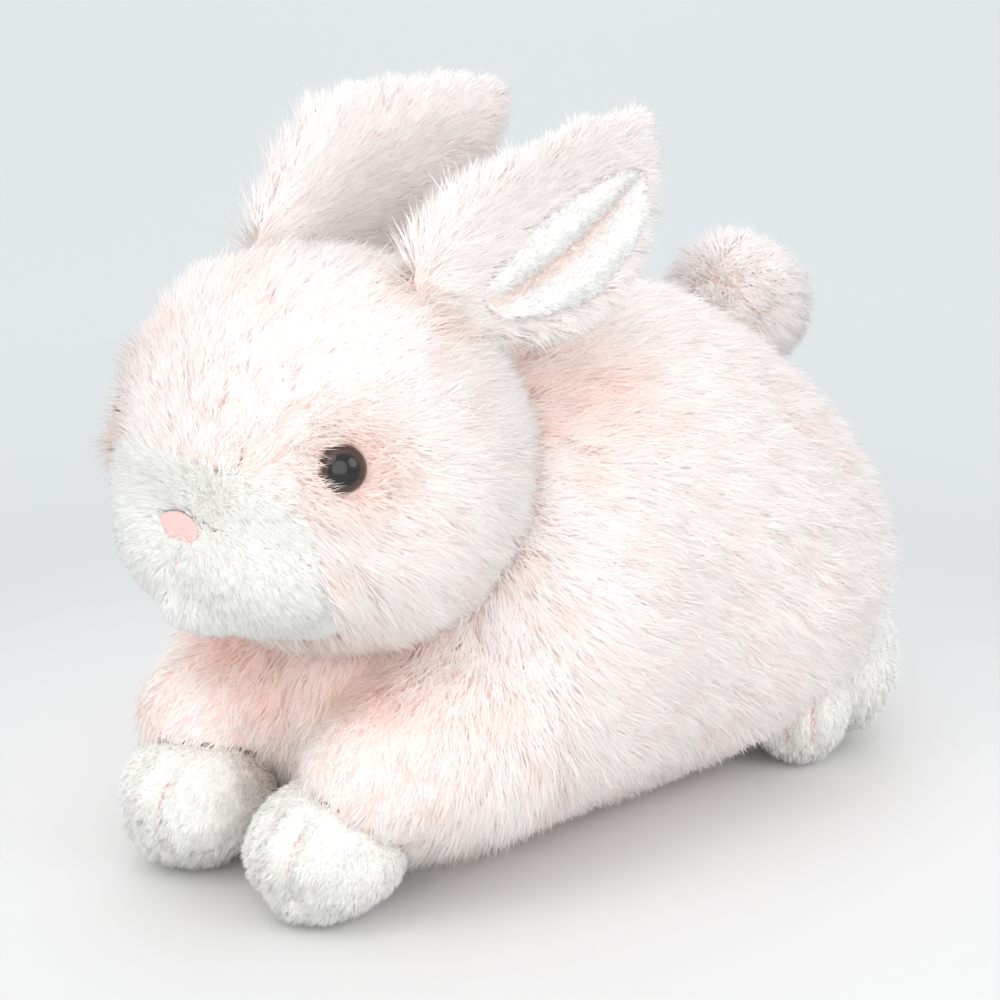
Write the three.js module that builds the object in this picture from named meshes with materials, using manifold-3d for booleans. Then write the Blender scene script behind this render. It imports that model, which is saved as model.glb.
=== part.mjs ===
// A stuffed bunny rabbit lying on its belly: sewn covers over stuffing, with soft sprung limbs.
// Millimetres, +Z up. The bunny looks along -Y and its own left side is +X.
import * as THREE from 'three';
import Module from 'manifold-3d';
import { mergeVertices } from 'three/addons/utils/BufferGeometryUtils.js';

const wasm = await Module();
wasm.setup();

// Cloth and clearances.
const COVER = 2.5; // fabric with its backing and flattened pile
const GAP = 0.3; // space left between two pieces that touch
const STUFFING = COVER + GAP; // how far the stuffing lies under a cover's outside
const JOINT_GAP = 0.6; // space left round a piece that moves
const THREAD = 0.55; // radius of a stitched thread
const HIDDEN_DETAIL = 0.67;
const MIDDLE = 0.4; // brings the toy's middle over the origin

// Torso: each station is half width, place along the body, height of the back.
const TORSO_STATIONS = [
  [0, -64, 42], [36, -56, 80], [52, -36, 104], [59, -8, 121], [61, 25, 127], [60, 56, 122],
  [54, 84, 106], [38, 103, 80], [0, 112, 46],
];
const TORSO_WAIST = 0.42; // height of the widest level over the height of the back
const TORSO_UNDER = -5; // the rounded underside reaches here before the flat base is cut
const BELLY_EDGE = 0.9; // the covers' lower edge stands this far above the belly panel
const SEAM_HEIGHTS = [0.42, 0.34, 0.26, 0.18]; // radians up from the rump's end
const SEAM_STAND = 1.1; // the thread's middle lies this far outside the covers
const NECK_AXIS = new THREE.Vector3(0, -1, 1).normalize();

// Head and face.
const HEAD_CENTRE = new THREE.Vector3(0, -66, 105);
const HEAD_RADII = new THREE.Vector3(46, 43, 44);
const CHEEK = 0.07; // how much wider the head is at cheek height
const CROWN_HALF_WIDTH = 15;
const CROWN_LOWER_EDGE = 112;
const NECK_PIVOT = new THREE.Vector3(0, -52, 91);
const NECK_BALL = 15;
const NECK_STEM = 11;
const NECK_LENGTH = 44;
const MUZZLE_CENTRE = new THREE.Vector3(0, -92.5, 90.5);
const MUZZLE_RADII = new THREE.Vector3(34, 19, 20.5);
const CHIN_CENTRE = new THREE.Vector3(0, -104, 77.5);
const CHIN_RADII = new THREE.Vector3(9, 8, 6);
const NOSE_CENTRE = new THREE.Vector3(0, -109.5, 96);
const NOSE_WIDTH = 12;
const NOSE_HEIGHT = 7.5;
const NOSE_DEPTH = 5;
const MOUTH_TOP = 92.5;
const MOUTH_LENGTH = 9;
const EYE_CENTRE = new THREE.Vector3(37.2, -93.4, 115.2);
const EYE_RADIUS = 6;
const EYE_DOME = 4.2;
const SHANK_RADIUS = 1.8;
const SHANK_LENGTH = 13;
const WASHER_DEPTH = 9;
const WASHER_RADIUS = 6.5;
const WASHER_THICKNESS = 1.4;

// Ears: root, lift above level, and the leaf's sizes.
const EAR_ROOT = new THREE.Vector3(27, -53, 145);
const EAR_LIFT = { left: 24, right: 27 };
const EAR_LENGTH = 82;
const EAR_HALF_WIDTH = 22.5;
const EAR_DROP = 7; // the leaf's middle sags this far below its root-to-tip line
const EAR_HEEL = 6; // how far the leaf runs back past its root
const EAR_THICK = 3.2;
const EAR_CUP = 6; // the edges curl outwards this far
const LINING_START = 8;
const LINING_LENGTH = 62;
const LINING_HALF_WIDTH = 12;
const LINING_LOW = 5; // the lining lies this far below the leaf's middle line
const LINING_THICK = 2;

// Forelegs, hind feet and tail.
const SHOULDER = new THREE.Vector3(34, -48, 38);
const SHOULDER_RADIUS = 22;
const WRIST = new THREE.Vector3(29, -76, 33);
const WRIST_RADIUS = 17.5;
const FOREPAW_CENTRE = new THREE.Vector3(23, -87, 16.8);
const FOREPAW_RADII = new THREE.Vector3(18, 18.5, 16.5);
const ANKLE = new THREE.Vector3(34, 74, 23);
const ANKLE_RADIUS = 13;
const HEEL_CENTRE = new THREE.Vector3(46, 85, 24);
const HEEL_RADII = new THREE.Vector3(12, 12, 19);
const TOE_CENTRE = new THREE.Vector3(44, 67, 14.6);
const TOE_RADII = new THREE.Vector3(12, 13, 14.3);
const TAIL_CENTRE = new THREE.Vector3(0, 89, 112);
const TAIL_RADIUS = 16;
const TAIL_ROOT = new THREE.Vector3(0, 80, 101);
const TAIL_ROOT_RADIUS = 12;

// Room left in a neighbour for a piece that swings, beyond its own surface.
const HEAD_ROOM = 4.5;
const WRIST_ROOM = 6;
const FOOT_ROOM = 3.5;
const FOOT_OPEN = 14; // the haunch is hollowed this far outwards past the foot's middle
const TAIL_ROOM = 3.5;
const EAR_ROOM = 1.5;
const EAR_SWINGS = [-4, 12]; // degrees inwards and outwards
const STEM_NODS = [-9, 0, 7]; // degrees

const SIDES = { left: 1, right: -1 };
const X_AXIS = new THREE.Vector3(1, 0, 0);
const Y_AXIS = new THREE.Vector3(0, 1, 0);
const Z_AXIS = new THREE.Vector3(0, 0, 1);

// ---------------------------------------------------------------- solids

function toSolid(geometry) {
  const bare = geometry.clone();
  bare.deleteAttribute('normal');
  bare.deleteAttribute('uv');
  const merged = mergeVertices(bare, 0.0001);
  return new wasm.Manifold(new wasm.Mesh({
    numProp: 3,
    vertProperties: new Float32Array(merged.attributes.position.array),
    triVerts: new Uint32Array(merged.index.array),
  }));
}

function toGeometry(solid) {
  const mesh = solid.getMesh();
  const geometry = new THREE.BufferGeometry();
  geometry.setAttribute('position', new THREE.BufferAttribute(new Float32Array(mesh.vertProperties), 3));
  geometry.setIndex(new THREE.BufferAttribute(new Uint32Array(mesh.triVerts), 1));
  geometry.computeVertexNormals();
  return geometry;
}

function united(solids) {
  return solids.reduce((sum, next) => sum.add(next));
}

function mirrored(vector, side) {
  return new THREE.Vector3(vector.x * side, vector.y, vector.z);
}

// A sphere whose every direction is sent to a new place; its poles lie along Y.
// The inside of a cover, and the stuffing in it, are rounded off more coarsely than its outside.
function shapedSphere(spokes, rings, place, hidden = false) {
  const share = hidden ? HIDDEN_DETAIL : 1;
  const geometry = new THREE.SphereGeometry(1, Math.round(spokes * share), Math.round(rings * share));
  const spots = geometry.attributes.position;
  const direction = new THREE.Vector3();
  for (let i = 0; i < spots.count; i += 1) {
    direction.fromBufferAttribute(spots, i);
    const spot = place(direction);
    spots.setXYZ(i, spot.x, spot.y, spot.z);
  }
  return geometry;
}

function ellipsoid(centre, radii, inset = 0, spokes = 12, rings = 8) {
  return shapedSphere(spokes, rings, (d) => new THREE.Vector3(
    centre.x + d.x * (radii.x - inset),
    centre.y + d.y * (radii.y - inset),
    centre.z + d.z * (radii.z - inset),
  ), inset > 0);
}

// Two balls joined by a tapering limb.
function limb(start, startRadius, end, endRadius, inset = 0) {
  const along = end.clone().sub(start).normalize();
  const turn = new THREE.Quaternion().setFromUnitVectors(Y_AXIS, along);
  return shapedSphere(12, 8, (d) => {
    const atEnd = d.y > 0.01;
    const radius = (atEnd ? endRadius : startRadius) - inset;
    return d.clone().applyQuaternion(turn).multiplyScalar(radius).add(atEnd ? end : start);
  }, inset > 0);
}

function box(low, high) {
  const geometry = new THREE.BoxGeometry(high[0] - low[0], high[1] - low[1], high[2] - low[2]);
  geometry.translate((low[0] + high[0]) / 2, (low[1] + high[1]) / 2, (low[2] + high[2]) / 2);
  return toSolid(geometry);
}

function rod(start, end, radius, spokes = 10) {
  const line = end.clone().sub(start);
  const geometry = new THREE.CylinderGeometry(radius, radius, line.length(), spokes);
  geometry.applyQuaternion(new THREE.Quaternion().setFromUnitVectors(Y_AXIS, line.clone().normalize()));
  geometry.translate((start.x + end.x) / 2, (start.y + end.y) / 2, (start.z + end.z) / 2);
  return geometry;
}

function turnedAbout(geometry, pivot, axis, degrees) {
  const copy = geometry.clone();
  copy.translate(-pivot.x, -pivot.y, -pivot.z);
  copy.applyQuaternion(new THREE.Quaternion().setFromAxisAngle(axis, THREE.MathUtils.degToRad(degrees)));
  copy.translate(pivot.x, pivot.y, pivot.z);
  return copy;
}

// The room a piece needs as it swings about one axis.
function swept(geometry, pivot, axis, swings) {
  return united(swings.map((angle) => toSolid(turnedAbout(geometry, pivot, axis, angle))));
}

// A thread along a line of points.
function thread(points) {
  const path = new THREE.CatmullRomCurve3(points);
  const round = new THREE.Shape();
  round.absarc(0, 0, THREAD, 0, Math.PI * 2, false);
  return new THREE.ExtrudeGeometry(round, {
    steps: 5, curveSegments: 3, bevelEnabled: false, extrudePath: path,
  });
}

// ---------------------------------------------------------------- shapes of the covers

const torsoLine = new THREE.CatmullRomCurve3(TORSO_STATIONS.map((s) => new THREE.Vector3(s[0], s[1], s[2])));

function torsoSpot(inset) {
  return (d) => {
    const along = Math.acos(THREE.MathUtils.clamp(-d.y, -1, 1)) / Math.PI;
    const station = torsoLine.getPoint(along);
    const round = Math.hypot(d.x, d.z) || 1;
    const sideways = round > 0.001 ? d.x / round : 0;
    const upwards = round > 0.001 ? d.z / round : 0;
    const waist = station.z * TORSO_WAIST;
    const atPole = round <= 0.001;
    const halfWidth = Math.max(station.x - inset, 0);
    const rise = upwards > 0 ? station.z - inset - waist : waist - TORSO_UNDER - inset;
    const taper = Math.sin(along * Math.PI) ** 0.35;
    return new THREE.Vector3(
      atPole ? 0 : halfWidth * sideways,
      station.y + inset * d.y * -1,
      waist + (atPole ? 0 : rise * upwards * (upwards > 0 ? taper : Math.sqrt(taper))),
    );
  };
}

const torsoShape = (inset) => shapedSphere(22, 14, torsoSpot(inset), inset > 0);

function headShape(inset) {
  return shapedSphere(20, 12, (d) => {
    const cheek = 1 + CHEEK * Math.max(0, 1 - ((d.z + 0.25) / 0.7) ** 2);
    return new THREE.Vector3(
      HEAD_CENTRE.x + d.x * (HEAD_RADII.x * cheek - inset),
      HEAD_CENTRE.y + d.y * (HEAD_RADII.y - inset),
      HEAD_CENTRE.z + d.z * (HEAD_RADII.z - inset),
    );
  }, inset > 0);
}

const muzzleShape = (inset) => ellipsoid(MUZZLE_CENTRE, MUZZLE_RADII, inset, 16, 10);

// ---------------------------------------------------------------- the toy and its groups

const bunny = new THREE.Group();
bunny.name = 'bunny';

const PINK_PILE = { color: 0xf7dcd8, roughness: 0.95 };
const WHITE_PILE = { color: 0xfaf8f3, roughness: 0.95 };
const WADDING = { color: 0xf3f1ec, roughness: 1 };
const PINK_THREAD = { color: 0xd9a39c, roughness: 0.8 };
const NOSE_CLOTH = { color: 0xf2c3bd, roughness: 0.9 };
const BLACK_PLASTIC = { color: 0x0b0809, roughness: 0.08 };
const WASHER_PLASTIC = { color: 0xe8e8e6, roughness: 0.5 };
const BELLY_CLOTH = { color: 0xf5e2de, roughness: 0.95 };

function addPiece(name, shape, look) {
  const geometry = shape.getMesh ? toGeometry(shape) : shape;
  const mesh = new THREE.Mesh(geometry, new THREE.MeshStandardMaterial({ ...look, metalness: 0 }));
  mesh.name = name;
  bunny.add(mesh);
}

// ---------------------------------------------------------------- neck

const neckProfile = new THREE.Path();
neckProfile.moveTo(0, -NECK_LENGTH);
neckProfile.lineTo(NECK_STEM - 2, -NECK_LENGTH);
neckProfile.lineTo(NECK_STEM, 2 - NECK_LENGTH);
const ballStart = Math.asin(NECK_STEM / NECK_BALL) - Math.PI / 2;
neckProfile.lineTo(NECK_STEM, Math.sin(ballStart) * NECK_BALL);
neckProfile.absarc(0, 0, NECK_BALL, ballStart, Math.PI / 2, false);
const neckPoints = neckProfile.getPoints(5);
neckPoints[neckPoints.length - 1].x = 0;
const neckGeometry = new THREE.LatheGeometry(neckPoints, 14);
neckGeometry.applyQuaternion(new THREE.Quaternion().setFromUnitVectors(Y_AXIS, NECK_AXIS));
neckGeometry.translate(NECK_PIVOT.x, NECK_PIVOT.y, NECK_PIVOT.z);

const stemEnd = (extra) => NECK_PIVOT.clone().addScaledVector(NECK_AXIS, -(NECK_LENGTH + extra));
const neckHole = toSolid(rod(NECK_PIVOT, stemEnd(GAP), NECK_STEM + 0.9, 14));
const stemRoom = swept(rod(NECK_PIVOT, stemEnd(0), NECK_STEM + 1, 10), NECK_PIVOT, X_AXIS, STEM_NODS);
const ballRadii = new THREE.Vector3(1, 1, 1).multiplyScalar(NECK_BALL + 1.2);
const neckRoom = toSolid(ellipsoid(NECK_PIVOT, ballRadii, 0, 14, 10)).add(stemRoom);

// ---------------------------------------------------------------- head

const headOuter = toSolid(headShape(0));
const muzzleOuter = toSolid(muzzleShape(0));
const headTouch = toSolid(headShape(-GAP));
const muzzleTouch = toSolid(muzzleShape(-GAP));
const muzzleInner = toSolid(muzzleShape(COVER));

function earFrame(side, sideName) {
  const lift = THREE.MathUtils.degToRad(EAR_LIFT[sideName]);
  const along = new THREE.Vector3(-0.05 * side, Math.cos(lift), Math.sin(lift)).normalize();
  const outwards = new THREE.Vector3(side, -0.12, 0.1);
  outwards.addScaledVector(along, -outwards.dot(along)).normalize();
  const across = new THREE.Vector3().crossVectors(outwards, along).multiplyScalar(side).normalize();
  return { side, root: mirrored(EAR_ROOT, side), along, outwards, across };
}

// A leaf: half width over its length, bowed, cupped towards its outward face.
function leaf(frame, start, length, halfWidth, thick, lift, fold, low = 0) {
  return shapedSphere(12, 10, (d) => {
    const part = (1 + d.y) / 2;
    const far = start + length * part;
    const share = THREE.MathUtils.clamp(far / EAR_LENGTH, 0, 1);
    const body = Math.sin(Math.PI * Math.min(1, 0.08 + 0.92 * part) ** 1.15) ** 0.75;
    const round = Math.hypot(d.x, d.z) || 1;
    const edge = (-frame.side * d.x) / round;
    const width = halfWidth * Math.max(body, 0) * (round > 0.001 ? 1 : 0);
    const off = edge * width - low;
    const bow = -EAR_DROP * Math.sin(Math.PI * share);
    const cup = EAR_CUP * (off / EAR_HALF_WIDTH) ** 2;
    const crease = d.z > 0 ? 1 - fold * Math.exp(-(((off + low) / 3) ** 2)) : 1;
    const depth = (d.z / round) * thick * Math.min(1, round * 1.6) * crease;
    return frame.root.clone()
      .addScaledVector(frame.along, far)
      .addScaledVector(frame.across, off + bow)
      .addScaledVector(frame.outwards, depth + cup + lift);
  });
}

const earRoom = [];
const ears = Object.entries(SIDES).map(([sideName, side]) => {
  const frame = earFrame(side, sideName);
  const outer = leaf(frame, -EAR_HEEL, EAR_LENGTH + EAR_HEEL, EAR_HALF_WIDTH, EAR_THICK, 0, 0);
  const roomy = leaf(frame, -EAR_HEEL - EAR_ROOM, EAR_LENGTH, EAR_HALF_WIDTH + EAR_ROOM,
    EAR_THICK + EAR_ROOM, 0, 0);
  const lining = leaf(frame, LINING_START, LINING_LENGTH, LINING_HALF_WIDTH, LINING_THICK,
    EAR_THICK + LINING_THICK + GAP, 0.7, LINING_LOW);
  earRoom.push(swept(roomy, frame.root, frame.across, EAR_SWINGS.map((angle) => -angle * side)));
  return { sideName, frame, outer, lining };
});

const eyeOut = (side) => new THREE.Vector3(0.8 * side, -0.57, 0.2).normalize();
const eyeHoles = [];
const washers = [];
const eyes = Object.entries(SIDES).map(([sideName, side]) => {
  const centre = mirrored(EYE_CENTRE, side);
  const out = eyeOut(side);
  const inside = (depth) => centre.clone().addScaledVector(out, -depth);
  const dome = shapedSphere(14, 6, (d) => {
    const up = d.y > 0 ? EYE_DOME : 1;
    return new THREE.Vector3(d.x * EYE_RADIUS, d.y * up, d.z * EYE_RADIUS);
  });
  dome.applyQuaternion(new THREE.Quaternion().setFromUnitVectors(Y_AXIS, out));
  dome.translate(centre.x, centre.y, centre.z);
  const shank = toSolid(rod(centre, inside(SHANK_LENGTH), SHANK_RADIUS));
  const eye = toSolid(dome).add(shank);
  const seat = toSolid(rod(inside(-6), inside(1.2), EYE_RADIUS + 0.5, 14));
  const shankHole = toSolid(rod(centre, inside(SHANK_LENGTH + GAP), SHANK_RADIUS + GAP));
  const washerFrom = WASHER_DEPTH;
  const washer = toSolid(rod(inside(washerFrom), inside(washerFrom + WASHER_THICKNESS), WASHER_RADIUS, 14))
    .subtract(toSolid(rod(centre, inside(SHANK_LENGTH + 2), SHANK_RADIUS + 0.2)));
  const washerRoom = toSolid(rod(inside(washerFrom - GAP), inside(washerFrom + WASHER_THICKNESS + GAP),
    WASHER_RADIUS + 0.6, 14));
  eyeHoles.push(seat.add(shankHole));
  washers.push({ sideName, washer, washerRoom });
  return { sideName, eye };
});

const allEyeHoles = united(eyeHoles);
const allEarRoom = united(earRoom);
const headShell = headOuter.subtract(toSolid(headShape(COVER)))
  .subtract(muzzleInner).subtract(neckRoom).subtract(allEyeHoles).subtract(allEarRoom);
const crownRoom = box([-CROWN_HALF_WIDTH - GAP, -200, CROWN_LOWER_EDGE - GAP], [CROWN_HALF_WIDTH + GAP, 200, 300]);
const crown = box([-CROWN_HALF_WIDTH, -200, CROWN_LOWER_EDGE], [CROWN_HALF_WIDTH, 200, 300]);
const headSides = headShell.subtract(crownRoom);
addPiece('head_cover_left', headSides.intersect(box([GAP / 2, -200, 0], [200, 200, 300])), PINK_PILE);
addPiece('head_cover_right', headSides.intersect(box([-200, -200, 0], [-GAP / 2, 200, 300])), PINK_PILE);
addPiece('head_crown_gusset', headShell.intersect(crown), PINK_PILE);
addPiece('head_stuffing', toSolid(headShape(STUFFING)).add(toSolid(muzzleShape(STUFFING)))
  .subtract(neckRoom).subtract(allEyeHoles).subtract(allEarRoom)
  .subtract(washers[0].washerRoom).subtract(washers[1].washerRoom), WADDING);
addPiece('muzzle_cover', muzzleOuter.subtract(muzzleInner).subtract(headTouch), WHITE_PILE);
addPiece('chin_patch', toSolid(ellipsoid(CHIN_CENTRE, CHIN_RADII))
  .subtract(headTouch).subtract(muzzleTouch), WHITE_PILE);
for (const { sideName, eye } of eyes) {
  addPiece(`eye_${sideName}`, eye, BLACK_PLASTIC);
}
for (const { sideName, washer } of washers) {
  addPiece(`eye_washer_${sideName}`, washer, WASHER_PLASTIC);
}

// The nose is a soft triangle with its point down.
const noseOutline = new THREE.Shape();
noseOutline.moveTo(0, -NOSE_HEIGHT / 2);
noseOutline.quadraticCurveTo(NOSE_WIDTH * 0.45, 0, NOSE_WIDTH / 2, NOSE_HEIGHT * 0.35);
noseOutline.quadraticCurveTo(0, NOSE_HEIGHT * 0.75, -NOSE_WIDTH / 2, NOSE_HEIGHT * 0.35);
noseOutline.quadraticCurveTo(-NOSE_WIDTH * 0.45, 0, 0, -NOSE_HEIGHT / 2);
const noseGeometry = new THREE.ExtrudeGeometry(noseOutline, {
  depth: NOSE_DEPTH, steps: 1, curveSegments: 6, bevelSize: 0.8, bevelThickness: 1, bevelSegments: 2,
});
noseGeometry.rotateX(Math.PI / 2);
noseGeometry.translate(NOSE_CENTRE.x, NOSE_CENTRE.y + NOSE_DEPTH - 1, NOSE_CENTRE.z);
addPiece('nose', toSolid(noseGeometry).subtract(muzzleTouch).subtract(headTouch), NOSE_CLOTH);

// A point on an ellipsoid's front, at a given x and z.
function onFront(centre, radii, x, z, stand) {
  const across = ((x - centre.x) / radii.x) ** 2;
  const up = ((z - centre.z) / radii.z) ** 2;
  const reach = Math.sqrt(Math.max(1 - across - up, 0.02));
  return new THREE.Vector3(x, centre.y - radii.y * reach - stand, z);
}

const mouthPoints = [0, 0.33, 0.67, 1].map((part) => (
  onFront(MUZZLE_CENTRE, MUZZLE_RADII, 0, MOUTH_TOP - MOUTH_LENGTH * part, THREAD + 0.35)
));
const nosePad = toSolid(noseGeometry.clone().scale(1.06, 1, 1).translate(0, 0, -0.3));
addPiece('mouth_stitch', toSolid(thread(mouthPoints)).subtract(nosePad), PINK_THREAD);

for (const { sideName, outer, lining } of ears) {
  addPiece(`ear_outer_${sideName}`, toSolid(outer), PINK_PILE);
  addPiece(`ear_lining_${sideName}`, toSolid(lining), WHITE_PILE);
}
addPiece('neck_stuffing', toSolid(neckGeometry), WADDING);

// ---------------------------------------------------------------- limbs and tail

const limbRoom = [];

function toeStitches(sideName, side, prefix, centre, radii, spread, outTurn) {
  const places = { inner: -spread * side, outer: spread * side };
  for (const [place, offset] of Object.entries(places)) {
    const heights = [0.62, 0.3, -0.05, -0.4];
    const points = heights.map((height) => (
      onFront(centre, radii, centre.x + offset, centre.z + radii.z * height, THREAD + 0.25)
    ));
    const stitch = turnedAbout(thread(points), centre, Z_AXIS, outTurn);
    addPiece(`${prefix}_toe_stitch_${place}_${sideName}`, toSolid(stitch), PINK_THREAD);
  }
}

for (const [sideName, side] of Object.entries(SIDES)) {
  const shoulder = mirrored(SHOULDER, side);
  const wrist = mirrored(WRIST, side);
  const paw = mirrored(FOREPAW_CENTRE, side);
  const sleeve = (inset) => limb(shoulder, SHOULDER_RADIUS, wrist, WRIST_RADIUS, inset);
  const pawShape = (inset) => ellipsoid(paw, FOREPAW_RADII, inset);
  const inwards = shoulder.clone().sub(wrist).normalize();
  const mouth = toSolid(rod(shoulder, shoulder.clone().addScaledVector(inwards, 40), 13));
  addPiece(`foreleg_sleeve_${sideName}`, toSolid(sleeve(0)).subtract(toSolid(sleeve(COVER)))
    .subtract(toSolid(pawShape(-GAP))).subtract(mouth), PINK_PILE);
  addPiece(`forepaw_cover_${sideName}`, toSolid(pawShape(0)).subtract(toSolid(pawShape(COVER)))
    .subtract(toSolid(sleeve(COVER))), WHITE_PILE);
  addPiece(`foreleg_stuffing_${sideName}`,
    toSolid(sleeve(STUFFING)).add(toSolid(pawShape(STUFFING))), WADDING);
  toeStitches(sideName, side, 'forepaw', paw, FOREPAW_RADII, 5, 0);
  limbRoom.push(toSolid(limb(shoulder, SHOULDER_RADIUS + JOINT_GAP, wrist, WRIST_RADIUS + WRIST_ROOM)));

  const ankle = mirrored(ANKLE, side);
  const heel = mirrored(HEEL_CENTRE, side);
  const toes = mirrored(TOE_CENTRE, side);
  const heelShape = (inset) => toSolid(ellipsoid(heel, HEEL_RADII, inset));
  const toeShape = (inset) => toSolid(ellipsoid(toes, TOE_RADII, inset));
  const ankleShape = (inset) => toSolid(limb(ankle, ANKLE_RADIUS, heel, ANKLE_RADIUS - 3, inset));
  const footShape = (inset) => heelShape(inset).add(toeShape(inset)).add(ankleShape(inset));
  const footMouth = toSolid(rod(ankle, mirrored(new THREE.Vector3(10, 62, 26), side), 9));
  addPiece(`hind_foot_cover_${sideName}`, footShape(0).subtract(footShape(COVER)).subtract(footMouth),
    WHITE_PILE);
  addPiece(`hind_foot_stuffing_${sideName}`, footShape(STUFFING), WADDING);
  toeStitches(sideName, side, 'hind', toes, TOE_RADII, 4, 38 * side);
  const heelOut = mirrored(new THREE.Vector3(HEEL_CENTRE.x + FOOT_OPEN, HEEL_CENTRE.y, HEEL_CENTRE.z), side);
  const toesOut = mirrored(new THREE.Vector3(TOE_CENTRE.x + FOOT_OPEN, TOE_CENTRE.y, TOE_CENTRE.z), side);
  limbRoom.push(toSolid(limb(heel, HEEL_RADII.z + 1, heelOut, HEEL_RADII.z + 1)), ankleShape(-JOINT_GAP));
  limbRoom.push(toSolid(limb(toes, TOE_RADII.z + FOOT_ROOM, toesOut, TOE_RADII.z + FOOT_ROOM)));
}

const tailShape = (inset) => limb(TAIL_ROOT, TAIL_ROOT_RADIUS, TAIL_CENTRE, TAIL_RADIUS, inset);
const tailMouth = toSolid(rod(TAIL_ROOT, TAIL_ROOT.clone().add(new THREE.Vector3(0, -6, -30)), 7));
addPiece('tail_cover', toSolid(tailShape(0)).subtract(toSolid(tailShape(COVER))).subtract(tailMouth),
  PINK_PILE);
addPiece('tail_stuffing', toSolid(tailShape(STUFFING)), WADDING);
limbRoom.push(toSolid(limb(TAIL_ROOT, TAIL_ROOT_RADIUS + JOINT_GAP, TAIL_CENTRE, TAIL_RADIUS + TAIL_ROOM)));

// ---------------------------------------------------------------- torso

const torsoRoom = united([toSolid(headShape(-HEAD_ROOM)), neckHole, ...limbRoom]);
const belowBase = box([-200, -200, -100], [200, 200, 0]);
const aboveBelly = box([-200, -200, COVER + GAP], [200, 200, 300]);
const torsoOuter = toSolid(torsoShape(0)).subtract(belowBase);
const torsoShell = torsoOuter.subtract(toSolid(torsoShape(COVER))).subtract(torsoRoom)
  .intersect(aboveBelly);
addPiece('torso_cover_left', torsoShell.intersect(box([GAP / 2, -200, 0], [200, 200, 300])), PINK_PILE);
addPiece('torso_cover_right', torsoShell.intersect(box([-200, -200, 0], [-GAP / 2, 200, 300])), PINK_PILE);
addPiece('torso_stuffing', toSolid(torsoShape(STUFFING)).subtract(torsoRoom).intersect(aboveBelly), WADDING);
addPiece('belly_panel', torsoOuter.intersect(box([-200, -200, 0], [200, 200, COVER]))
  .subtract(torsoRoom), BELLY_CLOTH);

// The closing seam: hand stitching down the back of the rump, where the stuffing went in.
const seamPoints = SEAM_HEIGHTS.map((rise) => (
  torsoSpot(-SEAM_STAND)(new THREE.Vector3(0, Math.cos(rise), Math.sin(rise)))
));
addPiece('closing_seam', toSolid(thread(seamPoints)).subtract(torsoShell), PINK_THREAD);

bunny.position.set(0, MIDDLE, 0);

export default bunny;
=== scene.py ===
import math

import bpy
import numpy as np
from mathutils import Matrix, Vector
from mathutils.bvhtree import BVHTree


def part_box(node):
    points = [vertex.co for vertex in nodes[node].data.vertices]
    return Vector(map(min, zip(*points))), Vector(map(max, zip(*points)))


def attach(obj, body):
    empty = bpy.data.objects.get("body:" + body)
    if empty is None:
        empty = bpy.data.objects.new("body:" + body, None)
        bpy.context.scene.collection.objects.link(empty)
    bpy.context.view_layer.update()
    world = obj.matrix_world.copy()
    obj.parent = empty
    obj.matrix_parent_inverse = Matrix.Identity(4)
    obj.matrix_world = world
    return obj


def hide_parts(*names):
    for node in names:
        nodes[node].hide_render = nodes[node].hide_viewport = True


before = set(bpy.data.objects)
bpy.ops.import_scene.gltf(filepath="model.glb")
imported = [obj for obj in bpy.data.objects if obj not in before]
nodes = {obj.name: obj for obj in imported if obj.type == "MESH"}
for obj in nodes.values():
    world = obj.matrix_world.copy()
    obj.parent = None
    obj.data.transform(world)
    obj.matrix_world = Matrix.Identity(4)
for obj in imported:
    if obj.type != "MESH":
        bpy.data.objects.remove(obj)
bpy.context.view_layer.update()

MM = 0.001
SIDES = {"left": 1, "right": -1}

# Landmarks, in millimetres. The bunny looks along -Y and its own left is +X.
NOSE_TIP = np.array([0, -113.0, 95])
EYE_CENTRE = np.array([37.2, -93.0, 115.2])
EYE_OUT = np.array([0.8, -0.57, 0.2]) / np.linalg.norm([0.8, -0.57, 0.2])
EYE_RADIUS = 5.7
EYE_DOME = 4.2
EYE_SINK = 1.4
EAR_ROOT = np.array([27, -52.6, 145])
EAR_LIFT = {"left": 24, "right": 27}
EAR_LENGTH = 82.0
EAR_LOW = 5.0
EAR_DROP = 7.0
EAR_TIP_DROOP = {"left": 3.5, "right": 6.0}
# Where an ear's upper margin is raised or lowered: how far along it, and by how much.
EAR_MARGIN = {"left": ((8, 3.5), (48, -2.5), (80, -3.0)), "right": ((28, 7.0), (8, 2.0))}
WRIST = np.array([29, -75.6, 33])
FOREPAW_CENTRE = np.array([23, -86.6, 16.8])
FOREPAW_RADII = np.array([18, 18.5, 16.5])
TOE_CENTRE = np.array([44, 67.4, 14.6])
TOE_RADII = np.array([12, 13, 14.3])
HEEL_CENTRE = np.array([46, 85.4, 24])
HEEL_RADII = np.array([12, 12, 19])
TAIL_CENTRE = np.array([0, 89.4, 112])
NOSE_FRONT = -108.6
WHITE_CENTRE_Z, WHITE_HALF_WIDTH, WHITE_HALF_HEIGHT = 90, 32.5, 22

# How the pile lies: how far the short pile's cloth sits under it, how far a hair may reach to the side,
# how far hairs may press into a hind foot, and the lengths of the short piles.
SHORT_PILE_SINK = 1.1
WIDEST_PILE = 73.8
FOOT_PRESS = 1.5
PAW_PILE = 2.9
LINING_LENGTH = 2.2
TAIL_PILE = 8.5


# ---------------------------------------------------------------- small helpers

def mirrored(spot, side):
    return np.asarray(spot, float) * np.array([side, 1, 1])


def unit(v):
    return v / np.maximum(np.linalg.norm(v, axis=-1, keepdims=True), 1e-9)


def smooth_step(low, high, x):
    t = np.clip((x - low) / (high - low), 0, 1)
    return t * t * (3 - 2 * t)


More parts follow.
